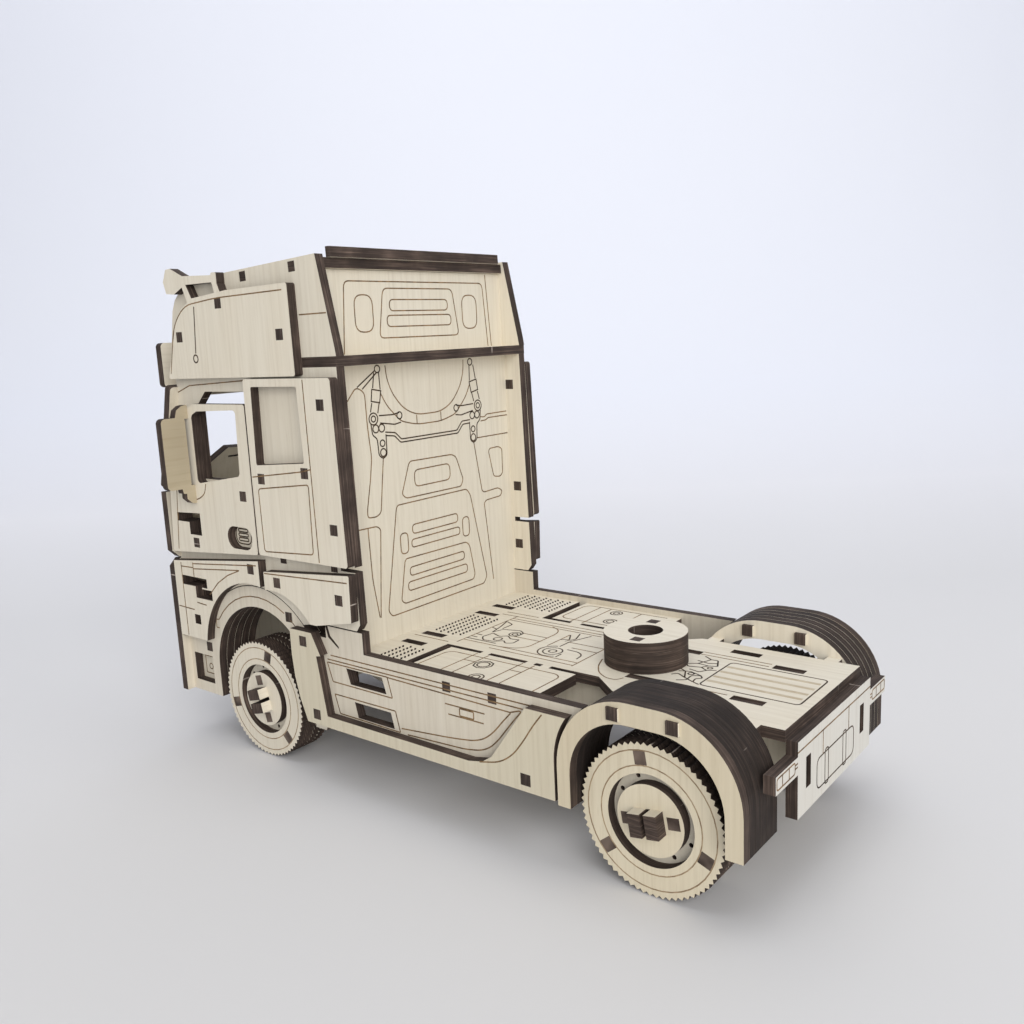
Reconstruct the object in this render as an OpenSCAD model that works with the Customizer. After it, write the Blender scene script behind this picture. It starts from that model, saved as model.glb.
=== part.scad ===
// Laser-cut plywood construction model of a two-axle lorry tractor.
// +X points to the cab's front, +Y to the left, +Z up. Millimetres.
// Inside the modules x is measured from the rear axle; place() then puts the
// origin under the middle of the model, on the surface that it stands on.

/* [Material] */
// Thickness of the plywood sheet
t = 3; // [2.8:0.1:3.2]
// Gap burned away by the laser between two pieces that lie side by side
kerf = 0.3; // [0.2:0.1:0.4]

/* [Wheels] */
// Distance between the two axles
wheelbase = 150; // [149:0.5:151]
// Radius of the wheels over the teeth of the tread
wheel_r = 20; // [19:0.5:20.2]
// Number of teeth around the tread
teeth = 68; // [48:4:72]
// Depth of a tooth
tooth_h = 0.8; // [0.5:0.1:1]
// Distance of the wheels' outer faces from the middle plane
wheel_face_y = 42; // [41:0.5:42.5]
// Tread layers behind the face of a front wheel
front_layers = 3; // [2:1:3]
// Tread layers behind the face of a rear wheel
rear_layers = 4; // [3:1:4]
// Radial clearance of an axle's bearing disc in its rail
axle_clearance = 0.06; // [0.03:0.01:0.09]

/* [Chassis] */
// Height of the deck's top face
deck_z = 43.5; // [43:0.5:44]
// Half of the deck's width between the rear mudguards
deck_hw = 25.5; // [25:0.5:26]
// Rear end of the deck
deck_back = -27; // [-28:0.5:-26.5]
// Top edge of the side skirts
skirt_top = 45.4; // [45:0.2:46]
// Bottom edge of the side skirts
skirt_low = 20; // [18:0.5:21]

/* [Fifth wheel] */
// Distance of the coupling disc in front of the rear axle
coupling_x = 25.3; // [24:0.1:26]
// Radius of the coupling disc
coupling_r = 12; // [11:0.5:13]
// Radius of the hole for a trailer's pin
coupling_bore_r = 5; // [4:0.5:6]

/* [Cab] */
// Half of the distance between the inner faces of the cab's side plates
body_hw = 40.5; // [40:0.5:41]
// Rear face of the cab's back wall
wall_x = 105; // [104:0.5:106]
// Rear face of the front panel and the bumper
nose_x = 188.3; // [188:0.1:189]
// Underside of the shelf plate that divides the cab's back
shelf_z = 130.5; // [130:0.5:131]
// Top of the roof sheet at the back
roof_z = 161.4; // [161:0.1:161.6]

/* [Hidden] */
$fn = 64;
frame_x = -(deck_back + nose_x) / 2;
layer1 = body_hw;
layer2 = body_hw + t;
layer3 = body_hw + 2 * t;
front_x = wheelbase;
axle_z = wheel_r;
// Front wheel arches: centre, inner radius, radii of the ring and of the band behind it
arch_x = front_x - 3.5;
arch_z = 28;
arch_r = 25;
ring_r = 32;
band_r = 30;
band_layers = 4;
// Axles: two plywood bars with a slit between them
bar_w = 3.4;
bar_h = 6;
bar_gap = 1.2;
axle_w = 2 * bar_w + bar_gap;
journal_r = 6.5;
rail_y = 11.7;
axle_end = wheel_face_y + 3.6;
guard_layers = 6;
// Groove between glued layers: its depth and its width
groove = 0.4;
layer_gap = 0.1;
peg = 3.3;
birch = [0.86, 0.83, 0.73];
charred = [0.25, 0.21, 0.19];

// ---- Sheets and outlines --------------------------------------------------

module place() {
    translate([frame_x, 0, 0]) children();
}

// Repeats its children on the left (side 1) or the right (side -1)
module on_side(side) {
    mirror([0, side < 0 ? 1 : 0, 0]) children();
}

// A sheet parallel to the XZ plane: outline in (x, z), from y0 outwards
module sheet_y(y0, thick = t) {
    translate([0, y0 + thick, 0]) rotate([90, 0, 0]) linear_extrude(thick) children();
}

// A sheet parallel to the YZ plane: outline in (y, z), from x0 forwards
module sheet_x(x0, thick = t) {
    translate([x0, 0, 0]) rotate([90, 0, 90]) linear_extrude(thick) children();
}

// A horizontal sheet: outline in (x, y), from z0 upwards
module sheet_z(z0, thick = t) {
    translate([0, 0, z0]) linear_extrude(thick) children();
}

module box2(x0, z0, x1, z1) {
    translate([x0, z0]) square([x1 - x0, z1 - z0]);
}

module rounded2(x0, z0, x1, z1, r) {
    offset(r) box2(x0 + r, z0 + r, x1 - r, z1 - r);
}

module soften(r) {
    offset(r) offset(-r) children();
}

module peg_hole(x, z) {
    box2(x - peg / 2, z - peg / 2, x + peg / 2, z + peg / 2);
}

// ---- Chassis ----------------------------------------------------------------

// Tabs of the deck that pass through the side skirts
deck_tabs = [47, 63.5];
// Tabs of the deck that carry the mudguards
guard_tabs = [-21, 15];
guard_inner = layer3 - guard_layers * t;
// Rows of tab slots over the rails: start of each slot along x
rail_slots = [-16.5, 14.5, 91.5];
slot_len = 9;

module deck_outline() {
    union() {
        polygon([[deck_back, -deck_hw], [20.5, -deck_hw], [29.5, -18.3], [38, -18.3],
            [38, 18.3], [29.5, 18.3], [20.5, deck_hw], [deck_back, deck_hw]]);
        box2(30, -18.3, wall_x + t, 18.3);
        difference() {
            box2(36, -body_hw, wall_x + t, body_hw);
            box2(35, -20, 51, 20);
        }
        for (x = deck_tabs) box2(x - t / 2, -layer2, x + t / 2, layer2);
        for (x = guard_tabs) box2(x, -guard_inner, x + 4, guard_inner);
    }
}

module deck_openings() {
    // Slots around the left tank cover
    box2(71, 18.3, 85.5, 20);
    box2(82.5, 18.3, 85.5, body_hw + 1);
    box2(54, 18.3, 68, 20);
    // Slots around the right tank cover, which is shorter
    box2(65, -20, 76.3, -18.3);
    box2(73.3, -body_hw - 1, 76.3, -18.3);
    box2(52, -20, 61, -18.3);
    // Outer tab slots beside the back wall and over the rear axle
    for (y = [-22.5, 22.5]) box2(91.5, y - t / 2, 91.5 + slot_len, y + t / 2);
    for (y = [-19.5, 19.5]) box2(-1, y - t / 2, 8, y + t / 2);
    // Slots over the rails
    for (x = rail_slots, s = [-1, 1]) {
        translate([x, s * (rail_y + t / 2) - t / 2]) square([slot_len, t]);
    }
}

// Vents: a block of short slots in staggered rows
module vent_block(x0, y0, rows, cols) {
    for (i = [0:cols - 1], j = [0:rows - 1]) {
        translate([x0 + 2.6 * j, y0 + 1.55 * i + (j % 2) * 0.7]) rotate(-50)
            square([1.8, 0.6], center = true);
    }
}

module deck_plate() {
    color(birch) sheet_z(deck_z - t) difference() {
        deck_outline();
        deck_openings();
        vent_block(88.5, -9.5, 5, 13);
        vent_block(88.5, 26.5, 4, 8);
        vent_block(79, -38.5, 8, 9);
    }
}

module rail_outline() {
    difference() {
        union() {
            box2(deck_back, 29, front_x + 16, deck_z - t);
            for (x = [0, front_x]) translate([x, axle_z]) circle(r = 11);
            for (x = [0, front_x]) box2(x - 11, axle_z, x + 11, 30);
            for (x = rail_slots) box2(x, 30, x + slot_len, deck_z - 0.6);
        }
        for (x = [0, front_x]) translate([x, axle_z]) circle(r = journal_r + axle_clearance);
    }
}

module chassis_rail(side) {
    color(birch) on_side(side) sheet_y(rail_y) rail_outline();
}

module cross_members() {
    color(birch) for (x = [-18, 34, 66, 118]) {
        sheet_x(x) box2(-rail_y, 29.5, rail_y, deck_z - t);
    }
}

// Rear plate with the two light clusters as wings of the same sheet
module rear_plate() {
    color(birch) sheet_x(deck_back - t) difference() {
        union() {
            box2(-25.1, 21.5, 25.1, 41);
            box2(-37.7, 32.9, 37.7, 37.4);
        }
        for (y = [-18.6, 18.6]) box2(y - t / 2, 27.5, y + t / 2, 35.5);
    }
}

module coupling_disc(level) {
    sheet_z(deck_z + level * t) difference() {
        translate([coupling_x, 0]) circle(r = coupling_r);
        translate([coupling_x, 0]) circle(r = coupling_bore_r);
        for (s = [-1, 1]) translate([coupling_x - s * 2.2, s * 8.2])
            square([peg, peg], center = true);
    }
}

module fifth_wheel_lower() { color(birch) coupling_disc(0); }
module fifth_wheel_middle() { color(birch) coupling_disc(1); }
module fifth_wheel_upper() { color(birch) coupling_disc(2); }

// ---- Rear mudguards and skirts ---------------------------------------------

guard_pegs = [-9.2, 6.9];
guard_peg_z = 47.6;
// Edges of the arch: back, front and top, outside and inside, and its feet
guard_out = [-26.4, 24.1, 50.9];
guard_in = [-21.9, 20.25, 45.3];
guard_low = 19.2;

module guard_fill(grow) {
    rounded2(guard_out[0] - grow, -20, guard_out[1] + grow, guard_out[2] + grow, 21);
}

module guard_outline(inset = 0) {
    difference() {
        intersection() {
            guard_fill(-inset);
            box2(-40, guard_low, 40, 60);
        }
        rounded2(guard_in[0] - inset, -20, guard_in[1] + inset, guard_in[2] + inset, 17);
        for (x = guard_pegs) peg_hole(x, guard_peg_z);
    }
}

module mudguard_face(side) {
    color(birch) on_side(side) sheet_y(layer2) guard_outline();
}

// The layers are glued into one stack; a fine groove shows between them
module mudguard_layers(side) {
    color(charred) on_side(side) {
        for (i = [1:guard_layers - 1]) {
            sheet_y(layer2 - i * t, t - layer_gap) guard_outline();
        }
        sheet_y(guard_inner, layer2 - guard_inner - layer_gap) guard_outline(groove);
    }
}

module step_cutouts() {
    polygon([[103.3, 34.8], [87.8, 34.8], [89.3, 39.7], [104.8, 39.7]]);
    polygon([[100.9, 24.5], [85.3, 24.5], [86.5, 29.4], [102.1, 29.4]]);
}

module arch_fill(r) {
    translate([arch_x, arch_z]) circle(r = r);
}

module arch_opening() {
    arch_fill(arch_r);
    box2(arch_x - arch_r, 0, arch_x + arch_r, arch_z);
}

ring_peg = [130.5, 52];
skirt_peg = [34.4, 23.3];
leg_pegs = [[116.8, 23.3], [120.7, 46.5]];
bumper_peg = [176.5, 34.4];

// Skirt, front wheel-arch ring and bumper side, cut from one sheet
module skirt_outline() {
    difference() {
        union() {
            box2(14, skirt_low, 123, skirt_top);
            box2(96.5, 45, 113, 52);
            intersection() {
                arch_fill(ring_r);
                box2(arch_x - ring_r, 17, arch_x + ring_r, arch_z + ring_r);
            }
            box2(arch_x + arch_r - 2, 17, nose_x, 36.5);
            box2(112, skirt_low, arch_x, 48);
        }
        guard_fill(kerf);
        arch_opening();
        step_cutouts();
        // Kerf between the raised corner and the ring
        polygon([[113.4, 53], [112.3, 53], [111, 49], [107.4, 46], [107.6, 45.4],
            [112, 48.4]]);
        box2(175.5, 20.8, nose_x - 2, 30.9);
        for (x = deck_tabs) box2(x - t / 2, deck_z - t, x + t / 2, deck_z);
        for (p = concat(leg_pegs, [skirt_peg, ring_peg, bumper_peg])) peg_hole(p.x, p.y);
    }
}

module skirt(side) {
    color(birch) on_side(side) sheet_y(layer1) skirt_outline();
}

// Band behind the wheel-arch ring; its legs run down beside the wheel
module arch_band(inset = 0) {
    difference() {
        union() {
            intersection() {
                arch_fill(band_r - inset);
                box2(arch_x - band_r, arch_z, arch_x + band_r, arch_z + band_r);
            }
            box2(arch_x - band_r + inset, skirt_low, arch_x + band_r - inset, arch_z);
        }
        arch_fill(arch_r + inset);
        box2(arch_x - arch_r - inset, 0, arch_x + arch_r + inset, arch_z);
    }
}

// Stack behind the front wheel arch; its outer sheet also closes the bumper's side
module front_arch_layers(side) {
    depth = band_layers * t;
    color(charred) on_side(side) {
        for (i = [1:band_layers]) sheet_y(layer1 - i * t, t - layer_gap) arch_band();
        sheet_y(layer1 - depth, depth - layer_gap) arch_band(groove);
        sheet_y(layer1 - t, t - layer_gap) box2(173.2, 18, nose_x, 33);
    }
}

// Frame on the skirt: front leg, bottom strip and a rear panel swept up
module ribbon_outline() {
    difference() {
        polygon([[14, skirt_low], [121.5, skirt_low], [124.3, 27], [126, 34],
            [126.7, 41], [126.7, 49.8], [116.5, 49.8], [112.9, 43], [114.9, 42.6],
            [111.8, 23.7], [54, 23.7], [49, 24.7], [45.6, 27], [43.2, 30.2],
            [33.6, 43.2], [14, 43.2]]);
        guard_fill(3 * kerf);
        for (p = concat(leg_pegs, [skirt_peg])) peg_hole(p.x, p.y);
    }
}

module skirt_ribbon(side) {
    color(birch) on_side(side) sheet_y(layer2) ribbon_outline();
}

// The windscreen leans back above this height: run per unit of rise, and angle
lean_z = 90;
lean_a = 15.5;
lean = tan(lean_a);

// ---- Cab sides ---------------------------------------------------------------

window_pegs = [[133.9, 96.8], [112.9, 99.6]];
sleeper_pegs = [[103.4, 119.9], [101.8, 83.4]];
door_pegs = [[144.2, 90.6], [172.8, 72.8]];
panel_pegs = [[131, 63.9], [102.2, 62.1]];
corner_peg = [144.1, 66.8];
sill_z = 69.6;
floor_tab = 130.5;

// Stepped notch of the front marker, through both layers of the door
module marker_notch() {
    polygon([[182.8, 79.7], [175.9, 79.7], [175.9, 75.5], [169.2, 75.5],
        [169.2, 83.2], [182.8, 82.6]]);
}

// Stepped notch of the front corner; its lower step starts at x0
module corner_notch(x0) {
    box2(169.5, 57, 183.7, 60.3);
    box2(x0, 53, 176.5, 56.5);
    box2(172.6, 56, 176.5, 58);
}

module cab_side_outline() {
    difference() {
        polygon([[98.5, shelf_z], [97, 54.5], [98.6, 52.4], [114, 52.4], [178, 40],
            [nose_x, 40], [nose_x, lean_z], [nose_x - lean * (124 - lean_z), 124],
            [180, shelf_z]]);
        arch_fill(ring_r + kerf);
        // Tabs of the back wall and of the floor, and a notch behind the wall
        box2(wall_x, sill_z, wall_x + t, sill_z + t);
        box2(floor_tab - t / 2, sill_z, floor_tab + t / 2, sill_z + t);
        box2(95, sill_z + 0.8, wall_x - 1.4, sill_z + 2.4);
        polygon([[143.6, 94.6], [168.6, 94.6], [168.6, 119], [163.5, 123.6],
            [139.6, 123.6], [139.6, 121], [143.6, 119]]);
        marker_notch();
        corner_notch(169.5);
        for (p = concat(window_pegs, sleeper_pegs, door_pegs, panel_pegs, [corner_peg]))
            peg_hole(p.x, p.y);
    }
}

module cab_side(side) {
    color(birch) on_side(side) sheet_y(layer1) cab_side_outline();
}

module sleeper_panel(side) {
    color(birch) on_side(side) sheet_y(layer2) difference() {
        soften(1) polygon([[98.4, 127.6], [97, 72.4], [138.6, 72.2], [138.6, 127.6]]);
        soften(0.6) polygon([[112.6, 102.6], [135.6, 101], [135, 125.2], [113.4, 125.2]]);
        for (p = concat(window_pegs, sleeper_pegs)) peg_hole(p.x, p.y);
    }
}

module door_outline() {
    difference() {
        soften(0.8) polygon([[139.2, 72], [139.2, 119.8], [167, 119.8], [170.5, 118],
            [185.2, 92], [187.4, 68.4]]);
        soften(1.5) polygon([[144.8, 97], [168.2, 93.4], [168.2, 116], [165, 117.4],
            [144, 118]]);
        marker_notch();
        // Recess of the handle
        rounded2(141.5, 73, 154.5, 80.4, 3.69);
        for (p = door_pegs) peg_hole(p.x, p.y);
    }
}

module door(side) {
    color(birch) on_side(side) sheet_y(layer2) door_outline();
}

// A rear-view mirror stands across the door's front edge on two arms
mirror_x = 170;
module mirror_outline() {
    soften(0.5) union() {
        rounded2(layer3 + 1.3, 92.1, 56.6, 115.6, 1.6);
        polygon([[layer3, 115], [layer3, 119.6], [48.6, 119.3], [50.6, 118], [51.5, 115]]);
        polygon([[layer3, 93], [51.6, 93], [51, 90.4], [49.9, 90.4], [49.9, 88.6],
            [48.2, 87], [layer3, 86.5]]);
    }
}

module door_mirrors() {
    color(birch) for (side = [-1, 1]) on_side(side) sheet_x(mirror_x) mirror_outline();
}

module lower_panel(side) {
    color(birch) on_side(side) sheet_y(layer2) difference() {
        soften(0.5) polygon([[97, 70.2], [97.4, 55.8], [113.6, 52.6], [134, 52.6],
            [137.4, 60], [137.4, 66.8]]);
        translate([134.6, 37.4]) circle(r = 23.6);
        for (p = panel_pegs) peg_hole(p.x, p.y);
    }
}

module front_corner(side) {
    color(birch) on_side(side) sheet_y(layer2) difference() {
        polygon([[139.8, 69.9], [nose_x, 65], [nose_x, 38], [172, 38], [150, 50], [139.8, 60]]);
        translate([145, 33.6]) circle(r = 28.2);
        corner_notch(167);
        box2(175.4, 43.4, 178.8, 46.8);
        peg_hole(corner_peg.x, corner_peg.y);
    }
}

// ---- Upper cab ---------------------------------------------------------------

fairing_pegs = [[118.8, 140.4], [147.4, 151], [170, 141.4]];
// The roof sheet slopes towards the front; two tabs on each side hold it
roof_back = 104.8;
roof_slope = 2.6;
roof_len = 42.6;
roof_tabs = [9.7, 33];

// Coordinates along the sloping roof sheet, from its rear edge
module on_roof() {
    translate([roof_back, 0, roof_z]) rotate([0, roof_slope, 0]) children();
}

module upper_side_outline() {
    difference() {
        polygon([[98.2, shelf_z + t], [98.6, 136], [104, roof_z + 0.8], [147.8, 160.1],
            [171, 156.6], [175, 153.5], [177, 150], [181, shelf_z + t]]);
        translate([roof_back, roof_z]) rotate(-roof_slope) for (x = roof_tabs) {
            box2(x - t / 2, -t, x + t / 2, 0);
        }
        for (p = fairing_pegs) peg_hole(p.x, p.y);
    }
}

module upper_side(side) {
    color(birch) on_side(side) sheet_y(layer1) upper_side_outline();
}

// Roof-side fairing with a trumpet horn on two posts, cut from one sheet
module fairing_outline() {
    difference() {
        union() {
            soften(0.8) polygon([[113.2, 128.2], [113.6, 154.9], [143, 154.6],
                [161, 153.2], [167.2, 150.4], [171.6, 146], [173.4, 141],
                [178.6, 128]]);
            polygon([[145.2, 153], [148.4, 153], [149.6, 158], [147.4, 158]]);
            polygon([[160.4, 152], [163.6, 152], [166.6, 159], [164.4, 159]]);
            rounded2(146.9, 156.8, 149.6, 160.3, 0.5);
            polygon([[148.6, 157.4], [164, 157.6], [170.4, 155], [174.8, 155.4],
                [176, 159.2], [174, 163], [171.4, 163.2], [165, 160.4], [148.6, 159.5]]);
        }
        for (p = fairing_pegs) peg_hole(p.x, p.y);
    }
}

module roof_fairing(side) {
    color(birch) on_side(side) sheet_y(layer2) fairing_outline();
}

module back_wall() {
    color(birch) sheet_x(wall_x) union() {
        box2(-body_hw, deck_z, body_hw, shelf_z);
        box2(-layer2, sill_z, layer2, sill_z + t);
    }
}

// The upper panel stands a little further in than the back wall
upper_x = wall_x + 1.2;
module upper_rear_panel() {
    color(birch) sheet_x(upper_x) box2(-body_hw, shelf_z + t, body_hw, roof_z - t - 0.2);
}

// Horizontal shelf over the cab; two arms in front carry the sun visor
visor_x = 186.4;
module shelf_plate() {
    color(birch) sheet_z(shelf_z) polygon([[98.4, layer2], [181, layer2], [181, 22],
        [visor_x, 22], [visor_x, 14], [181, 14], [181, -14], [visor_x, -14],
        [visor_x, -22], [181, -22], [181, -layer2], [98.4, -layer2]]);
}

module roof_sheet() {
    color(birch) on_roof() sheet_z(-t) union() {
        translate([0, -body_hw]) square([roof_len, 2 * body_hw]);
        for (x = roof_tabs) translate([x - t / 2, -layer2]) square([t, 2 * layer2]);
    }
}

module roof_lip() {
    color(birch) on_roof() sheet_z(0) soften(1) polygon([[-1.2, -39.6], [-1.2, 39.6],
        [7.4, 32], [7.4, -32]]);
}

module roof_front() {
    color(birch) translate([148, 0, 158.9]) rotate([0, 8.6, 0])
        sheet_z(-t) translate([0.2, -body_hw]) square([21.6, 2 * body_hw]);
}

// ---- Cab front ---------------------------------------------------------------

module upper_front_panel() {
    color(birch) translate([180.8, 0, shelf_z + t]) rotate([0, -22, 0]) sheet_x(-t)
        box2(-body_hw, 1.2, body_hw, 21);
}

module sun_visor() {
    color(birch) sheet_x(visor_x) rounded2(-layer2, 125, layer2, 140, 1.5);
}

slat_z = [43.2, 47.4, 51.6, 55.8];

// Full width of the cab between two heights, with the corners at `cut` cut off
module chamfered2(z0, z1, cut) {
    difference() {
        box2(-layer3, z0, layer3, z1);
        for (z = cut, s = [-1, 1]) translate([s * layer3, z]) rotate(45) {
            square([3.6, 3.6], center = true);
        }
    }
}

// Upright front panel with three air slots
module front_panel() {
    color(birch) sheet_x(nose_x) difference() {
        chamfered2(65.8, lean_z - 0.8, [65.8]);
        for (z = [69, 75, 81]) box2(-28, z, 28, z + 3.6);
    }
}

// Windscreen sheet, leaning back on the front edges of the cab's sides
module windscreen() {
    color(birch) translate([nose_x, 0, lean_z]) rotate([0, -lean_a, 0]) sheet_x(0) difference() {
        rounded2(-layer3, 0, layer3, 36.5, 1.2);
        box2(-37, 4, -1.5, 32.8);
        difference() {
            box2(1.5, 4, 37, 32.8);
            // Outline of the instruments on the driver's side, with a slot
            polygon([[30.5, 3], [28.8, 7.7], [21.8, 12.4], [15, 12], [8, 12], [8, 3]]);
        }
        box2(15.9, 8.6, 21.6, 9.3);
    }
}

module grille_slats() {
    color(birch) for (z = slat_z) sheet_z(z) translate([184, -32]) square([6, 64]);
}

module bumper() {
    color(birch) sheet_x(nose_x) difference() {
        chamfered2(17, 65.2, [65.2]);
        box2(-32, 42, 32, 60);
        for (y = [-38, 30.5]) box2(y, 26, y + 7.5, 34);
    }
}

module cab_floor() {
    color(birch) sheet_z(sill_z) union() {
        translate([wall_x + t, -body_hw]) square([nose_x - wall_x - t, 2 * body_hw]);
        translate([floor_tab - t / 2, -layer2]) square([t, 2 * layer2]);
    }
}

// ---- Pegs that pin the layers together ---------------------------------------

module peg_y(p, y0, y1) {
    translate([p.x - peg / 2, y0, p.y - peg / 2]) cube([peg, y1 - y0, peg]);
}

module pegs() {
    color(charred) {
        for (side = [-1, 1]) on_side(side) {
            for (x = guard_pegs) {
                peg_y([x, guard_peg_z], guard_inner - 1.2, layer3 + 0.6);
            }
            for (p = concat(leg_pegs, [skirt_peg])) peg_y(p, layer1, layer3);
            for (p = [ring_peg, bumper_peg]) peg_y(p, layer1, layer2);
            for (p = concat(window_pegs, sleeper_pegs, door_pegs, panel_pegs, [corner_peg],
                fairing_pegs)) peg_y(p, layer1, layer3);
        }
        for (s = [-1, 1]) translate([coupling_x - s * 2.2, s * 8.2, deck_z])
            linear_extrude(3 * t) square([peg, peg], center = true);
    }
}

// ---- Wheels ------------------------------------------------------------------

module toothed2(r) {
    step = 360 / teeth;
    polygon([for (i = [0:teeth - 1], k = [0:1])
        let (a = (i + k * 0.5) * step, q = k == 0 ? r : r - tooth_h)
        [q * cos(a), q * sin(a)]]);
}

module axle_slot() {
    square([axle_w, bar_h], center = true);
}

hub_hole_r = 12;
hub_r = 9.3;
lugs = 10;
rim_pegs = [90, 210, 330];
rim_peg_r = 15.9;
hub_peg_x = 6.5;
// Angle at which each wheelset has come to rest
rear_turn = -9;
front_turn = -105;

module wheelset_at(x) {
    turn = x == 0 ? rear_turn : front_turn;
    translate([x, 0, axle_z]) rotate([0, -turn, 0]) children();
}

module wheel_at(x, side) {
    wheelset_at(x) on_side(side) children();
}

module wheel_peg_holes() {
    for (a = rim_pegs) rotate(a) translate([rim_peg_r, 0]) square([3.6, 3.4], center = true);
    for (s = [-1, 1]) translate([s * hub_peg_x, 0]) square([3.4, 3.2], center = true);
}

// Outer toothed ring and, in the same layer, the hub disc inside it
module wheel_face(x, side) {
    color(birch) wheel_at(x, side) {
        sheet_y(wheel_face_y - t) difference() {
            toothed2(wheel_r);
            circle(r = hub_hole_r);
            wheel_peg_holes();
        }
        sheet_y(wheel_face_y - t) difference() {
            circle(r = hub_r);
            axle_slot();
            wheel_peg_holes();
        }
    }
}

// Layers behind the face; the first one shows the wheel nuts in the hub
module wheel_tread(x, side, layers) {
    color(charred) wheel_at(x, side) {
        sheet_y(wheel_face_y - 2 * t) difference() {
            toothed2(wheel_r);
            axle_slot();
            wheel_peg_holes();
            for (i = [0:lugs - 1]) rotate(i * 360 / lugs) translate([10.6, 0]) circle(r = 0.6);
        }
        for (i = [2:layers]) sheet_y(wheel_face_y - (i + 1) * t, t - layer_gap) difference() {
            rotate(i * 180 / teeth) toothed2(wheel_r);
            axle_slot();
            wheel_peg_holes();
        }
        sheet_y(wheel_face_y - (layers + 1) * t, (layers + 1) * t) wheel_peg_holes();
    }
}

module axle_bars(x) {
    color(birch) wheelset_at(x) for (s = [-1, 1]) {
        translate([s * (bar_w + bar_gap) / 2, 0, 0])
            cube([bar_w, 2 * axle_end, bar_h], center = true);
    }
}

// Round discs on the axle: one turns inside each rail, one keeps its place
module bearing_discs(x) {
    color(birch) for (side = [-1, 1]) wheel_at(x, side) {
        sheet_y(rail_y) difference() {
            circle(r = journal_r);
            axle_slot();
        }
        sheet_y(rail_y + t + kerf) difference() {
            circle(r = 9);
            axle_slot();
        }
    }
}

// ---- Nodes -------------------------------------------------------------------

place() {
    deck_plate();
    chassis_rail(1);  // chassis_rail_left
    chassis_rail(-1);  // chassis_rail_right
    cross_members();
    rear_plate();
    fifth_wheel_lower();
    fifth_wheel_middle();
    fifth_wheel_upper();
    mudguard_face(1);  // rear_mudguard_left_face
    mudguard_layers(1);  // rear_mudguard_left_layers
    mudguard_face(-1);  // rear_mudguard_right_face
    mudguard_layers(-1);  // rear_mudguard_right_layers
    skirt(1);  // skirt_left
    skirt(-1);  // skirt_right
    skirt_ribbon(1);  // skirt_ribbon_left
    skirt_ribbon(-1);  // skirt_ribbon_right
    cab_side(1);  // cab_side_left
    cab_side(-1);  // cab_side_right
    sleeper_panel(1);  // sleeper_panel_left
    sleeper_panel(-1);  // sleeper_panel_right
    door(1);  // door_left
    door(-1);  // door_right
    door_mirrors();
    lower_panel(1);  // lower_panel_left
    lower_panel(-1);  // lower_panel_right
    front_corner(1);  // front_corner_left
    front_corner(-1);  // front_corner_right
    front_arch_layers(1);  // front_arch_left_layers
    front_arch_layers(-1);  // front_arch_right_layers
    upper_side(1);  // upper_side_left
    upper_side(-1);  // upper_side_right
    roof_fairing(1);  // roof_fairing_left
    roof_fairing(-1);  // roof_fairing_right
    back_wall();
    upper_rear_panel();
    shelf_plate();
    roof_sheet();
    roof_lip();
    roof_front();
    upper_front_panel();
    sun_visor();
    windscreen();
    front_panel();
    grille_slats();
    bumper();
    cab_floor();
    pegs();
    axle_bars(front_x);  // front_axle
    bearing_discs(front_x);  // front_bearing_discs
    wheel_face(front_x, 1);  // front_left_face
    wheel_tread(front_x, 1, front_layers);  // front_left_tread
    wheel_face(front_x, -1);  // front_right_face
    wheel_tread(front_x, -1, front_layers);  // front_right_tread
    axle_bars(0);  // rear_axle
    bearing_discs(0);  // rear_bearing_discs
    wheel_face(0, 1);  // rear_left_face
    wheel_tread(0, 1, rear_layers);  // rear_left_tread
    wheel_face(0, -1);  // rear_right_face
    wheel_tread(0, -1, rear_layers);  // rear_right_tread
}
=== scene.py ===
import math

import bpy
from mathutils import Matrix, Vector


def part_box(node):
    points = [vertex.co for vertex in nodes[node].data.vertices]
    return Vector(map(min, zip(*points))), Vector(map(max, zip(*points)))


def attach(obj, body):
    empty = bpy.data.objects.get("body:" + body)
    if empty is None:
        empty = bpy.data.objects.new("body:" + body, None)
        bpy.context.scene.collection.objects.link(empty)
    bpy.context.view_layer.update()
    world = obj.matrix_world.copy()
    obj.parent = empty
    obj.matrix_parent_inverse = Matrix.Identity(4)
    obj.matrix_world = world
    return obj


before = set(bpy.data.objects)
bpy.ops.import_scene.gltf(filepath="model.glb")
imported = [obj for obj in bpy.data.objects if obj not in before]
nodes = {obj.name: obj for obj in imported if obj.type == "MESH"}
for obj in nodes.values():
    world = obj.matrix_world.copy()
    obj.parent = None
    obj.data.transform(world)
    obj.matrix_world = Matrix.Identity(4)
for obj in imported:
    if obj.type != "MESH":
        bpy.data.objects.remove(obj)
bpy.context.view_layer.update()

# Laser-cut plywood lorry tractor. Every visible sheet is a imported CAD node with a
# plywood material: birch faces and charred cut edges. The engraved lines are pieces
# of their own. Their coordinates are millimetres, x measured from the rear axle.
MM = 0.001
SHEET = 3.0
scene = bpy.context.scene


def node_middle(name):
    low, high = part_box(name)
    return (low + high) / 2


AXLE_X = node_middle("rear_left_face").x / MM
WHEELBASE = node_middle("front_left_face").x / MM - AXLE_X
AXLE_Z = node_middle("rear_left_face").z / MM

# Camera: the floor's sweep turns with it
YAW, PITCH, ROLL = (math.radians(a) for a in (-51.067, -10.43, -2.738))
LENS, SENSOR = 33.606, 36.0
CAMERA_PLACE = (-0.19163, 0.22674, 0.1368)


# ---- Materials ---------------------------------------------------------------

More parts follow.
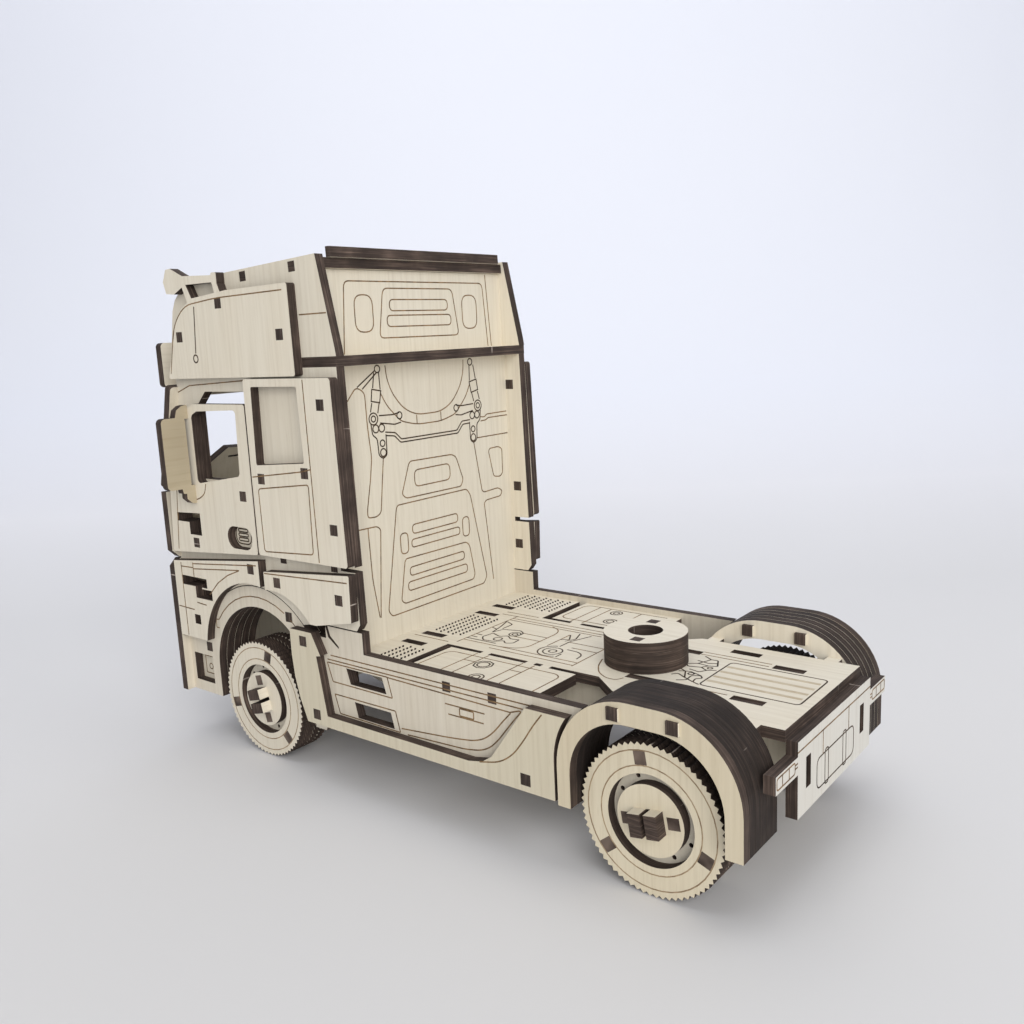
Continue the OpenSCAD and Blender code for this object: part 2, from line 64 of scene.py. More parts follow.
class Graph:
    """A node material with short helpers for its maths."""

    def __init__(self, name):
        self.material = bpy.data.materials.new(name)
        self.material.use_nodes = True
        self.tree = self.material.node_tree
        self.surface = self.tree.nodes["Principled BSDF"]
        self.coord = self.tree.nodes.new("ShaderNodeTexCoord")

    def put(self, socket, value):
        if isinstance(value, bpy.types.NodeSocket):
            self.tree.links.new(value, socket)
        else:
            socket.default_value = value

    def calc(self, operation, a, b=0.0):
        node = self.tree.nodes.new("ShaderNodeMath")
        node.operation = operation
        self.put(node.inputs[0], a)
        self.put(node.inputs[1], b)
        return node.outputs[0]

    def dot(self, a, b):
        node = self.tree.nodes.new("ShaderNodeVectorMath")
        node.operation = "DOT_PRODUCT"
        self.put(node.inputs[0], a)
        self.put(node.inputs[1], b)
        return node.outputs["Value"]

    def stretch(self, vector, scale, shift=(0, 0, 0)):
        node = self.tree.nodes.new("ShaderNodeMapping")
        self.put(node.inputs["Vector"], vector)
        node.inputs["Scale"].default_value = scale
        node.inputs["Location"].default_value = shift
        return node.outputs[0]

    def noise(self, vector, scale=1.0, detail=3.0, rough=0.55):
        node = self.tree.nodes.new("ShaderNodeTexNoise")
        self.put(node.inputs["Vector"], vector)
        node.inputs["Scale"].default_value = scale
        node.inputs["Detail"].default_value = detail
        node.inputs["Roughness"].default_value = rough
        return node.outputs[0]

    def span(self, value, low, high, out_low=0.0, out_high=1.0):
        node = self.tree.nodes.new("ShaderNodeMapRange")
        self.put(node.inputs["Value"], value)
        node.inputs["From Min"].default_value = low
        node.inputs["From Max"].default_value = high
        node.inputs["To Min"].default_value = out_low
        node.inputs["To Max"].default_value = out_high
        return node.outputs[0]

    def blend(self, factor, a, b, mode="MIX"):
        node = self.tree.nodes.new("ShaderNodeMix")
        node.data_type = "RGBA"
        node.blend_type = mode
        self.put(node.inputs[0], factor)
        self.put(node.inputs[6], a)
        self.put(node.inputs[7], b)
        return node.outputs[2]

    def ramp(self, value, stops):
        node = self.tree.nodes.new("ShaderNodeValToRGB")
        self.put(node.inputs[0], value)
        elements = node.color_ramp.elements
        while len(elements) < len(stops):
            elements.new(0.5)
        for element, (position, colour) in zip(elements, stops):
            element.position = position
            element.color = (*colour, 1)
        return node.outputs[0]

    def bump(self, height, strength, distance):
        node = self.tree.nodes.new("ShaderNodeBump")
        node.inputs["Strength"].default_value = strength
        node.inputs["Distance"].default_value = distance
        self.put(node.inputs["Height"], height)
        self.put(self.surface.inputs["Normal"], node.outputs[0])


def along(direction, scale_along, scale_across):
    """Scales for a texture that is stretched along one of the three axes."""
    return tuple(scale_along if abs(d) > 0.5 else scale_across for d in direction)


# Texture frequencies per metre: (along, across) the grain, and across and along the
# layers of a cut edge
FIBRE, PATCH, FLECK = (28, 900), (14, 45), (210, 2600)
STREAK, GLUE, SCORCH, RIM_HIGHLIGHT_BREAKS = (2300, 45), (60, 520), 90, 160
SCORCHED = [(0.34, (0.014, 0.010, 0.008)), (0.50, (0.036, 0.026, 0.021)),
            (0.60, (0.072, 0.053, 0.043)), (0.74, (0.165, 0.125, 0.100))]
# Strength of the pale rims between layers, a painted highlight, and brightness of the
# charred edges, lowered on the two mudguards as painted shade
PLAIN_RIM_HIGHLIGHT_AND_CHAR = (0.2, 1.25)
RIM_HIGHLIGHT_AND_EDGE_SHADE = {"rear_mudguard_left_layers": (0.06, 0.60), "rear_mudguard_right_layers": (0.75, 0.68)}


def charred_colour(g, place, normal, base, rim_highlight):
    """Laser-charred cut edge: lamination streaks, fine striations and traces of glue, with a
    painted highlight as a pale rim where two sheets meet.
    """
    streak = g.noise(g.stretch(place, along(normal, *STREAK)), detail=3, rough=0.65)
    cloud = g.noise(place, scale=SCORCH, detail=3, rough=0.6)
    tone = g.calc("ADD", g.calc("MULTIPLY", streak, 0.62), g.calc("MULTIPLY", cloud, 0.38))
    colour = g.ramp(tone, SCORCHED)
    # Depth within a sheet, from 0 to 1; whole sheets below the base keep it positive
    depth = g.calc("ABSOLUTE", g.dot(place, normal))
    start = base - 60 * SHEET * MM
    level = g.calc("FRACT", g.calc("DIVIDE", g.calc("SUBTRACT", depth, start), SHEET * MM))
    # Pale rim where two sheets meet, broken in places: a painted highlight
    rim_highlight_line = g.calc("ABSOLUTE", g.calc("SUBTRACT", level, 0.5))
    rim_highlight_line = g.span(rim_highlight_line, 0.455, 0.49)
    breaks = g.noise(place, scale=RIM_HIGHLIGHT_BREAKS, detail=2)
    rim_highlight_line = g.calc("MULTIPLY", rim_highlight_line, g.span(breaks, 0.42, 0.62))
    colour = g.blend(g.calc("MULTIPLY", rim_highlight_line, rim_highlight), colour, (0.34, 0.28, 0.23, 1))
    marks = g.noise(g.stretch(place, along(normal, *GLUE), (3, 7, 5)), detail=2, rough=0.5)
    glue = g.span(marks, 0.735, 0.775)
    return g.blend(g.calc("MULTIPLY", glue, 0.75), colour, (0.52, 0.48, 0.43, 1)), tone


def plywood(name, normal, base, grain, tint, tone_and_painted_light, rim_highlight_and_char, dark_beyond=None):
    """Sheet of birch plywood: pale grained faces across `normal`, charred elsewhere.

    `base` is the distance of a sheet's face from the origin, `tint` and
    `tone_and_painted_light` change the birch: its own tone, and painted light and shade on
    some sheets. `rim_highlight_and_char` changes the edges: a painted highlight on the pale
    rims and the char's brightness, with painted shade on the mudguards. Beyond `dark_beyond`
    everything is charred; in the near mudguard's grooves this is painted shade.
    """
    g = Graph(name)
    place = g.coord.outputs["Object"]
    facing = g.calc("ABSOLUTE", g.dot(g.coord.outputs["Normal"], normal))
    face = g.span(facing, 0.90, 0.97)
    if dark_beyond is not None:
        side = g.calc("ABSOLUTE", g.dot(place, normal))
        face = g.calc("MULTIPLY", face, g.calc("LESS_THAN", side, dark_beyond * MM))
    shift = (tint * 37 % 5, tint * 53 % 7, tint * 71 % 3)
    fibre = g.noise(g.stretch(place, along(grain, *FIBRE), shift), detail=4, rough=0.6)
    cloud = g.noise(g.stretch(place, along(grain, *PATCH), shift), detail=2, rough=0.5)
    fleck = g.noise(g.stretch(place, along(grain, *FLECK), shift), detail=2, rough=0.5)
    pale = g.ramp(fibre, [
        (0.28, (0.636 * tint, 0.577 * tint, 0.466 * tint)),
        (0.50, (0.700 * tint, 0.644 * tint, 0.530 * tint)),
        (0.75, (0.734 * tint, 0.680 * tint, 0.568 * tint))])
    pale = g.blend(g.span(cloud, 0.38, 0.70, 0.0, 0.24), pale, (0.640, 0.555, 0.420, 1))
    pale = g.blend(g.span(fleck, 0.66, 0.74, 0.0, 0.16), pale, (0.420, 0.320, 0.210, 1))
    # The sheet's own tone, together with painted light and painted shade for how brightly it is
    # lit
    pale = g.blend(1.0, pale, (*tone_and_painted_light, 1), "MULTIPLY")
    rim_highlight, char_tone_and_painted_shade = rim_highlight_and_char
    dark, tone = charred_colour(g, place, normal, base, rim_highlight)
    # Char brightness: brighter on most edges, darker on the two mudguards as painted shade
    dark = g.blend(1.0, dark, (char_tone_and_painted_shade * 1.06, char_tone_and_painted_shade, char_tone_and_painted_shade * 0.97, 1), "MULTIPLY")
    g.put(g.surface.inputs["Base Color"], g.blend(face, dark, pale))
    g.put(g.surface.inputs["Roughness"], g.span(face, 0.0, 1.0, 0.78, 0.58))
    g.surface.inputs["Specular IOR Level"].default_value = 0.32
    height = g.calc("ADD", g.calc("MULTIPLY", g.calc("SUBTRACT", 1.0, face), tone),
                    g.calc("MULTIPLY", face, g.calc("MULTIPLY", fibre, 0.35)))
    g.bump(height, 0.35, 0.0002)
    return g.material


def engraved(name, colour, deep):
    """Burnt line of an engraving, lighter where the laser ran faster."""
    g = Graph(name)
    place = g.coord.outputs["Object"]
    tone = g.noise(place, scale=420, detail=3, rough=0.6)
    g.put(g.surface.inputs["Base Color"], g.ramp(tone, [(0.38, deep), (0.62, colour)]))
    g.surface.inputs["Roughness"].default_value = 0.8
    g.surface.inputs["Specular IOR Level"].default_value = 0.2
    g.bump(tone, 0.3, 0.0001)
    return g.material


ALONG_X, ALONG_Y, ALONG_Z = (1, 0, 0), (0, 1, 0), (0, 0, 1)


def leaning(axis, degrees):
    """Normal of a sheet turned about Y, as the CAD turns it."""
    c, s = math.cos(math.radians(degrees)), math.sin(math.radians(degrees))
    return (c, 0.0, -s) if axis == "x" else (s, 0.0, c)


ROOF_SLOPE, ROOF_FRONT_SLOPE, SCREEN_LEAN, PANEL_LEAN = 2.6, 8.6, -15.5, -22.0
# Sheet normal and direction of the grain; every other node is a sheet across Y
SHEET_NORMALS = {
    "deck_plate": (ALONG_Z, ALONG_X), "fifth_wheel_lower": (ALONG_Z, ALONG_X),
    "fifth_wheel_middle": (ALONG_Z, ALONG_Y), "fifth_wheel_upper": (ALONG_Z, ALONG_X),
    "shelf_plate": (ALONG_Z, ALONG_Y), "grille_slats": (ALONG_Z, ALONG_Y),
    "cab_floor": (ALONG_Z, ALONG_X), "front_axle": (leaning("z", 105), ALONG_Y),
    "rear_axle": (leaning("z", 9), ALONG_Y), "roof_sheet": (leaning("z", ROOF_SLOPE), ALONG_Y),
    "roof_lip": (leaning("z", ROOF_SLOPE), ALONG_Y),
    "roof_front": (leaning("z", ROOF_FRONT_SLOPE), ALONG_Y),
    "rear_plate": (ALONG_X, ALONG_Z), "cross_members": (ALONG_X, ALONG_Y),
    "back_wall": (ALONG_X, ALONG_Z), "upper_rear_panel": (ALONG_X, ALONG_Z),
    "sun_visor": (ALONG_X, ALONG_Y), "front_panel": (ALONG_X, ALONG_Z),
    "bumper": (ALONG_X, ALONG_Z), "door_mirrors": (ALONG_X, ALONG_Y),
    "windscreen": (leaning("x", SCREEN_LEAN), ALONG_Z),
    "upper_front_panel": (leaning("x", PANEL_LEAN), ALONG_Z), "pegs": (ALONG_X, ALONG_Z)}
# Sheets whose birch is darker, yellower or whiter than the rest: partly their own tone,
# partly painted light and shade matched to how brightly each is lit (brighter fairing and
# sleeper, darker skirts, ribbons, mudguard and wheel faces and mirrors)
BIRCH_TONE_AND_PAINTED_LIGHT = {
    "door_mirrors": (0.65, 0.60, 0.505), "rear_plate": (0.94, 0.99, 1.10),
    "roof_fairing": (1.04, 1.04, 1.04), "sleeper_panel": (1.03, 1.03, 1.03),
    "skirt": (0.90, 0.89, 0.885), "skirt_ribbon": (0.87, 0.855, 0.79),
    "rear_mudguard_face": (0.86, 0.82, 0.73), "rear_face": (0.94, 0.91, 0.83)}
# Distances from the middle plane beyond which a node is charred all over: the pegs of
# a wheel belong to its tread node, and the faces in the grooves of the near mudguard are
# charred as painted shade
TREAD_PEG_Y, GUARD_PAINTED_SHADE_Y = 41.5, 28.6

for order, (name, item) in enumerate(sorted(nodes.items())):
    normal, grain = SHEET_NORMALS.get(name, (ALONG_Y, ALONG_Z))
    spread = [abs(v.co.dot(Vector(normal))) for v in item.data.vertices]
    tint = 1.0 + 0.012 * ((order * 7) % 5 - 2)
    beyond = TREAD_PEG_Y if name.endswith("_tread") else None
    # Painted shade: the near mudguard's faces inside its grooves take the charred colour
    if name == "rear_mudguard_left_layers":
        beyond = GUARD_PAINTED_SHADE_Y
    kind = name.replace("_left", "").replace("_right", "")
    made = plywood("ply_" + name, normal, min(spread), grain, tint,
                   BIRCH_TONE_AND_PAINTED_LIGHT.get(kind, (1, 1, 1)), RIM_HIGHLIGHT_AND_EDGE_SHADE.get(name, PLAIN_RIM_HIGHLIGHT_AND_CHAR), beyond)
    if not item.material_slots:
        item.data.materials.append(made)
    for slot in item.material_slots:
        slot.material = made

FINE = engraved("engraved_fine", (0.260, 0.165, 0.082), (0.115, 0.070, 0.035))
DEEP = engraved("engraved_deep", (0.085, 0.054, 0.033), (0.032, 0.021, 0.014))
FAINT = engraved("engraved_faint", (0.400, 0.300, 0.190), (0.230, 0.160, 0.095))
SOFT = engraved("engraved_soft", (0.540, 0.460, 0.340), (0.470, 0.390, 0.275))
FINE_WIDTH, FAINT_WIDTH, RIB_WIDTH = 0.38, 0.32, 1.3


# ---- Engraved lines ------------------------------------------------------------

def rounded(points, radius, closed=False, steps=5):
    """The outline with its corners rounded."""
    out, count = [], len(points)
    for i, point in enumerate(points):
        if not closed and i in (0, count - 1):
            out.append(point)
            continue
        p, a, b = Vector(point), Vector(points[i - 1]), Vector(points[(i + 1) % count])
        r = min(radius, (a - p).length * 0.48, (b - p).length * 0.48)
        start, end = p + (a - p).normalized() * r, p + (b - p).normalized() * r
        for k in range(steps + 1):
            f = k / steps
            out.append(tuple(start * (1 - f) ** 2 + p * 2 * f * (1 - f) + end * f ** 2))
    return out


def arc(u, v, radius, start=0.0, end=360.0):
    steps = max(6, round(abs(end - start) / 9))
    count = steps if abs(end - start) >= 360 else steps + 1
    return [(u + radius * math.cos(math.radians(start + (end - start) * i / steps)),
             v + radius * math.sin(math.radians(start + (end - start) * i / steps)))
            for i in range(count)]


def box(u0, v0, u1, v1):
    return [(u0, v0), (u1, v0), (u1, v1), (u0, v1)]


def line(points, radius=0.0):
    return (rounded(points, radius) if radius else points, False)


def loop(points, radius=0.0):
    return (rounded(points, radius, True) if radius else points, True)


def ring(u, v, radius):
    return (arc(u, v, radius), True)


def flipped(lines):
    """The same lines on the other side of v's axis: u becomes -u."""
    return [([(-u, v) for u, v in points], closed) for points, closed in lines]


class Cutter:
    """Collects the engraved lines of one sheet as thin closed strips."""
    RISE, SINK = 0.03, 0.15

    def __init__(self, name, body, at, normal, material):
        self.name, self.body, self.at = name, body, at
        self.normal, self.material = Vector(normal), material
        self.verts, self.faces = [], []

    def cut(self, lines, width):
        for points, closed in lines:
            self.strip([self.at(u, v) for u, v in points], closed, width)
        return self

    def strip(self, points, closed, width):
        n, count, first = self.normal, len(points), len(self.verts)
        for i, p in enumerate(points):
            before = points[i - 1] if closed or i > 0 else p
            after = points[(i + 1) % count] if closed or i < count - 1 else p
            a, b = (p - before), (after - p)
            a = a.normalized() if a.length else b.normalized()
            b = b.normalized() if b.length else a
            bisector = (a + b).normalized()
            side = n.cross(bisector).normalized()
            stretch = 1 / max(0.4, abs(bisector.dot(a)))
            side = side * (width * MM / 2 * stretch)
            rise, sink = n * self.RISE * MM, n * self.SINK * MM
            self.verts += [p + side + rise, p - side + rise, p - side - sink, p + side - sink]
        for i in range(count if closed else count - 1):
            a, b = first + 4 * i, first + 4 * ((i + 1) % count)
            for k in range(4):
                m = (k + 1) % 4
                self.faces.append((a + k, a + m, b + m, b + k))
        if not closed:
            last = first + 4 * (count - 1)
            self.faces.append((first + 3, first + 2, first + 1, first))
            self.faces.append((last, last + 1, last + 2, last + 3))

    def finish(self):
        mesh = bpy.data.meshes.new(self.name)
        mesh.from_pydata(self.verts, [], self.faces)
        mesh.materials.append(self.material)
        mesh.validate()
        item = bpy.data.objects.new(self.name, mesh)
        scene.collection.objects.link(item)
        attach(item, self.body)


def across_x(x):
    return lambda y, z: Vector(((x + AXLE_X) * MM, y * MM, z * MM))


def across_y(y):
    return lambda x, z: Vector(((x + AXLE_X) * MM, y * MM, z * MM))


def across_z(z):
    return lambda x, y: Vector(((x + AXLE_X) * MM, y * MM, z * MM))


def engrave(name, body, at, normal, fine, deep=(), deep_width=0.48):
    Cutter(name + "_fine", body, at, normal, FINE).cut(fine, FINE_WIDTH).finish()
    if deep:
        Cutter(name + "_deep", body, at, normal, DEEP).cut(deep, deep_width).finish()


def face_of(node, axis, high):
    """Coordinate of a sheet's outer face along X (0), Y (1) or Z (2), from the rear axle."""
    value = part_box(node)[1 if high else 0][axis] / MM
    return value - AXLE_X if axis == 0 else value


# Back wall of the cab: hoses, dampers, a tank and stamped panels
wall_fine = [
    line([(18.2, 129.7), (17.9, 125.9), (16.1, 121.2), (11.5, 115.9), (5.6, 113.4),
          (-5.6, 113.4), (-11.5, 115.9), (-16.1, 121.2), (-17.9, 125.9), (-18.2, 129.7)], 4),
    line([(21.0, 121.6), (18.7, 117.5), (15.4, 114.3), (12.8, 112.0), (5.8, 110.3),
          (-5.8, 110.3), (-12.8, 112.0), (-15.4, 114.3), (-18.7, 117.5), (-21.0, 121.6)], 3),
    line([(5.7, 113.4), (5.7, 110.3)]), line([(-5.7, 113.4), (-5.7, 110.3)]),
    line([(-25.5, 109.8), (-27.8, 109.5), (-29.0, 110.4), (-40.0, 110.5)], 1),
    line([(-25.7, 108.3), (-28.5, 108.4), (-29.7, 109.1), (-40.3, 109.1)], 1),
    line([(-23.2, 102.7), (-40.2, 102.7)]),
    line([(35.0, 119.5), (30.8, 123.9), (27.5, 122.1), (27.3, 111.9), (26.5, 102.1),
          (27.6, 95.7), (29.8, 86.3), (29.9, 83.8), (26.1, 83.6), (24.2, 84.6),
          (21.6, 101.8)], 1.6),
    line([(36.8, 119.0), (36.8, 84.0), (35.5, 80.8), (30.2, 80.7)], 2),
    line([(30.2, 80.7), (26.4, 80.6), (24.9, 79.4), (27.5, 51.4)], 1.2),
    line([(30.2, 80.7), (29.8, 64.3), (27.9, 51.6)], 2),
    loop([(9.8, 98.9), (-9.8, 98.6), (-11.9, 97.5), (-14.9, 89.5), (-13.7, 87.2),
          (12.8, 87.3), (14.6, 88.8), (10.8, 98.1)], 1),
    loop(box(-8.5, 90.4, 8.5, 95.8), 2),
    loop([(16.8, 85.7), (-16.3, 85.8), (-18.1, 83.6), (-24.7, 53.2), (-23.0, 50.9),
          (22.5, 50.6), (24.0, 52.6), (17.6, 84.8)], 1),
    loop(box(-11, 75.3, 11, 78.3), 1.4), loop(box(-11.7, 70.9, 11.7, 73.5), 1.2),
    loop(box(13.3, 69.6, 16.7, 76.3), 1.7), loop(box(-16.7, 69.6, -13.3, 76.3), 1.7),
    loop([(14.7, 67.8), (-14.7, 67.5), (-16.3, 66.0), (-18.4, 55.4), (-17.5, 53.7),
          (16.5, 53.3), (18.0, 54.6), (15.4, 66.9)], 1),
    loop(box(-13.3, 61.8, 13.3, 64.6), 1.3), loop(box(-14.5, 57.0, 14.5, 59.9), 1.3),
    line([(-21.4, 101.7), (-24.5, 84.0), (-25.6, 83.3), (-33.3, 83.7), (-35.6, 82.3),
          (-34.5, 80.6), (-26.5, 80.3), (-25.3, 79.4), (-28.3, 51.2)], 1),
    loop([(-29.7, 98.2), (-34.4, 98.4), (-36.5, 97.4), (-36.3, 88.7), (-34.8, 87.6),
          (-31.3, 88.1), (-29.1, 97.2)], 1)]
damper = [
    ring(21.6, 128.8, 1.1), line([(23.1, 127.8), (24.0, 123.1)]),
    line([(21.1, 127.7), (20.9, 122.5)]),
    loop([(24.4, 122.8), (20.7, 122.1), (21.5, 118.5), (25.0, 119.2)]),
    line([(24.8, 118.7), (25.6, 115.9)]), line([(21.7, 118.6), (22.6, 115.4)]),
    ring(24.6, 113.8, 1.8), ring(24.6, 113.8, 0.9),
    line([(22.2, 114.6), (16.3, 114.4), (13.5, 114.8)], 0.5), ring(13.4, 113.9, 1.1),
    line([(12.9, 111.7), (15.7, 111.3), (21.9, 112.3)], 0.5),
    ring(23.9, 110.7, 1.2), ring(21.4, 110.7, 1.2), ring(21.5, 106.0, 1.0),
    ring(21.4, 103.1, 1.2),
    line([(25.8, 112.3), (25.4, 108.9), (23.6, 107.6), (23.3, 102.4), (21.6, 101.2),
          (19.9, 102.2), (19.8, 108.6)], 0.8)]
wall_deep = damper + flipped(damper) + [
    line([(20.0, 109.3), (15.7, 108.7), (13.2, 106.4), (-13.2, 106.4), (-15.9, 109.2),
          (-20.2, 109.3)], 0.6),
    line([(19.8, 108.2), (16.1, 107.7), (13.6, 105.4), (-13.6, 105.4), (-16.3, 108.1),
          (-20.0, 108.2)], 0.6),
    line([(22.6, 128.4), (30.3, 123.8)]), line([(22.0, 127.7), (28.3, 123.1)])]
BACKWARDS, FORWARDS, UPWARDS = (-1, 0, 0), (1, 0, 0), (0, 0, 1)
engrave("back_wall_lines", "truck", across_x(face_of("back_wall", 0, False)), BACKWARDS,
        wall_fine, wall_deep, deep_width=0.42)

# Upper rear panel
engrave("upper_rear_lines", "truck", across_x(face_of("upper_rear_panel", 0, False)), BACKWARDS, [
    line([(33.2, 133.7), (31.4, 155.0), (-31.4, 155.0), (-33.2, 133.7)], 2),
    loop(box(20.5, 140.0, 27.9, 151.0), 3.2), loop(box(-27.9, 140.0, -20.5, 151.0), 3.2),
    loop([(15.8, 153.0), (-15.8, 153.0), (-18.3, 138.0), (18.3, 138.0)], 2),
    loop(box(-13.3, 146.2, 13.3, 149.6), 1.6), loop(box(-14.7, 141.4, 14.7, 144.8), 1.6),
    line([(-35.0, 133.7), (-33.2, 157.9)])])

# Rear plate: a blank number plate, its bars and the lamp clusters
lamp = [loop(box(26.8, 33.9, 37.1, 36.7), 0.8), line([(30.2, 33.9), (30.2, 36.7)]),
        line([(34.0, 33.9), (34.0, 36.7)]), line([(25.2, 35.9), (26.8, 35.9)]),
        line([(25.2, 35.0), (26.8, 35.0)])]
engrave("rear_plate_lines", "truck", across_x(face_of("rear_plate", 0, False)), BACKWARDS, [
    line([(25.1, 38.4), (-25.1, 38.4)]), line([(9.3, 38.4), (9.3, 32.2)]),
    line([(-8.6, 38.4), (-8.6, 32.2)]), *lamp, *flipped(lamp)],
    [loop(box(-12.4, 24.1, 13.2, 32.1), 2.2), loop(box(5.6, 23.5, 7.9, 32.8), 0.9),
     loop(box(-6.8, 23.5, -4.5, 32.8), 0.9)], deep_width=0.38)

# Deck: ribbed plate, machinery, covers of the two side tanks
left_cover = [
    line([(38.5, 40.0), (38.5, 24.5), (40.5, 22.8), (78.8, 22.8), (80.7, 24.5),
          (80.7, 40.0)], 2),
    line([(50.0, 40.0), (50.0, 20.4)]), line([(54.3, 40.0), (54.3, 20.4)]),
    line([(67.2, 40.0), (67.2, 20.4)]), line([(71.6, 40.0), (71.6, 20.4)]),
    line([(50.0, 26.8), (54.3, 26.8)]), line([(67.2, 26.8), (71.6, 26.8)])]
left_rounds = [(arc(63.5, 27.3, 3.0)[::5], True), ring(63.5, 27.3, 1.9), ring(58.8, 36.2, 2.3),
               ring(58.8, 36.2, 1.2)]
right_cover = [
    line([(40.0, -38.4), (70.0, -38.4), (71.6, -36.8), (71.6, -23.6), (70.0, -22.2),
          (38.0, -22.2)], 1.5),
    line([(49.7, -22.2), (49.7, -38.4)]), line([(61.5, -20.2), (61.5, -38.4)]),
    line([(65.9, -20.2), (65.9, -38.4)])]
right_rounds = [ring(54.4, -26.3, 2.2), ring(54.4, -26.3, 1.2), ring(57.6, -35.2, 2.0),
                ring(57.6, -35.2, 1.0)]
frames = [
    line([(40.8, 15.2), (40.8, -17.0)]), line([(40.8, 14.6), (72.0, 14.6)]),
    line([(40.8, 12.2), (84.5, 12.2)]), line([(84.5, 15.2), (84.5, -15.8)]),
    line([(48.0, -11.3), (84.5, -11.3)]), line([(48.0, -13.1), (84.5, -13.1)]),
    line([(48.0, -15.5), (91.0, -15.5)]), line([(77.5, -18.2), (91.0, -18.2)]),
    line([(87.0, 16.6), (101.5, 16.6)]), line([(-6.4, -12.5), (14.4, -12.5)]),
    line([(-6.4, -14.6), (14.4, -14.6)]), line([(-6.0, 12.5), (13.6, 12.5)]),
    line([(23.2, 15.6), (24.2, 18.0), (27.5, 18.0), (31.5, 15.4), (34.6, 10.8),
          (36.6, 5.6)], 2),
    line([(70.0, 12.2), (64.4, 11.0), (62.0, 8.0), (62.0, -7.0), (63.6, -10.4),
          (67.4, -12.2)], 2),
    line([(62.0, 2.0), (72.0, 2.0)]), line([(62.0, -2.0), (71.8, -2.0)]),
    line([(40.8, 2.0), (50.0, 2.0)]), line([(40.8, -2.0), (53.8, -2.0)]),
    line([(57.6, 4.0), (57.6, -8.0)])]
RIB_Y, RIB_X = (5.6, 1.8, -2.4, -6.6), (-23.2, 3.2)
ribs = [line([(RIB_X[0], y), (RIB_X[1], y)]) for y in RIB_Y]
machinery = [
    loop([(-24.0, 9.5), (3.7, 9.5), (3.7, -10.4), (-24.0, -10.4)], 1.6),
    line([(3.7, 9.5), (5.9, 8.6), (6.4, 6.2), (4.9, 5.0), (6.2, 3.4), (8.4, 4.6),
          (8.1, 8.2), (10.4, 9.6)], 0.6),
    line([(5.9, 8.6), (9.6, 6.6), (12.4, 4.8), (13.6, 6.4)], 0.6),
    line([(6.2, 3.4), (10.2, 1.8), (13.2, 3.0)], 0.5),
    line([(9.4, 6.6), (11.4, 2.4), (13.4, 1.2)], 0.6), ring(9.2, 3.3, 0.8),
    line([(4.4, -2.4), (7.0, -1.2), (9.2, -2.6), (8.0, -4.6), (5.6, -5.4), (6.6, -7.6),
          (8.8, -6.4), (12.6, -7.2)], 0.6),
    line([(9.2, -2.6), (12.8, -1.6), (14.2, -3.4), (11.4, -5.0), (8.0, -4.6)], 0.6),
    line([(6.8, -1.2), (8.0, 1.0), (11.4, 0.2)], 0.5),
    line([(11.4, -5.0), (9.6, -9.6), (12.4, -11.4)], 0.5),
    line([(5.6, -5.4), (7.6, -9.8), (9.6, -9.6)], 0.5), ring(6.8, -3.2, 0.7),
    ring(53.2, 7.3, 3.0), (arc(53.2, 7.3, 4.6, 130, -75), False), ring(53.2, 7.3, 1.2),
    line([(43.0, 9.6), (43.4, 6.2), (45.6, 4.4), (50.2, 4.0)], 1.4),
    line([(49.4, 11.2), (49.4, 8.2)]), line([(53.8, 2.8), (53.8, -2.4), (51.0, -10.2)], 0.6),
    line([(55.4, -2.2), (53.6, -5.4), (55.4, -10.4)], 0.6),
    line([(57.6, -2.8), (55.0, -4.0), (57.4, -8.0)], 0.6),
    line([(68.6, 4.0), (68.2, 7.4), (70.4, 8.8), (72.2, 7.0), (74.4, 9.2), (78.6, 9.6),
          (80.8, 7.2), (80.0, 2.8), (76.2, 4.4), (74.0, 2.6), (71.6, 4.6), (68.6, 4.0)], 0.8),
    line([(72.8, 10.4), (84.4, 10.4)]), ring(75.0, 6.6, 1.4), ring(73.2, 0.2, 1.9),
    ring(73.2, 0.2, 0.9),
    line([(71.6, 2.0), (71.2, -1.8), (73.8, -3.6), (79.6, -2.0), (81.0, 2.0)], 0.9),
    line([(81.0, 2.0), (82.4, -4.0), (84.2, -9.4), (80.4, -7.6), (80.4, -2.4)], 0.7),
    line([(82.0, 8.4), (84.4, 8.4)]), line([(82.0, 6.0), (84.4, 6.0)]),
    line([(81.6, -1.0), (84.4, -2.0)])]
DECK_Z = face_of("deck_plate", 2, True)
engrave("deck_lines", "truck", across_z(DECK_Z), UPWARDS,
        [*left_cover, *right_cover, *frames], [*left_rounds, *right_rounds, *machinery],
        deep_width=0.44)
Cutter("deck_ribs", "truck", across_z(DECK_Z), UPWARDS, SOFT).cut(ribs, RIB_WIDTH).finish()

